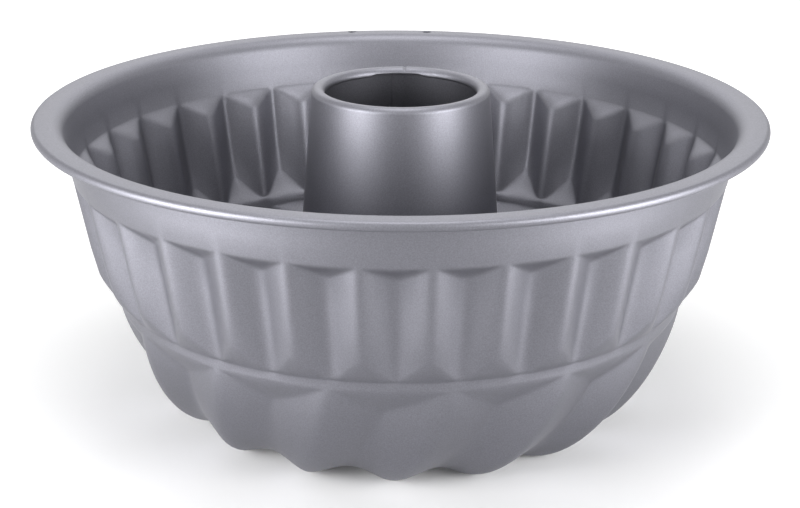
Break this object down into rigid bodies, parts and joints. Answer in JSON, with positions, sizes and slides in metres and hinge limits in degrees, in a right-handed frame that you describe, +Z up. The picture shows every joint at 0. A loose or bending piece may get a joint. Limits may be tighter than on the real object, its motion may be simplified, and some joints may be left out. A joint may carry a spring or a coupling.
{
  "type": "fluted tube pan",
  "caption": "Round ring cake mould of grey coated sheet steel, with straight flutes above swirling ones, a flat rolled rim and an open tapered centre tube.",
  "frame": {"origin": "centre of the bounding box on the plane the pan stands on", "axes": "+Z up along the axis of the pan, +Y towards the hanging holes at the back, -Y towards the viewer of the picture"},
  "size_m": [0.241, 0.241, 0.1106],
  "materials": {
    "shell_coating": "satin metallic non-stick coating on sheet steel",
    "tube_coating": "satin metallic non-stick coating on sheet steel"
  },
  "bodies": {
    "root": {"fluted_shell": "shell_coating", "centre_tube": "tube_coating"}
  },
  "joints": []
}
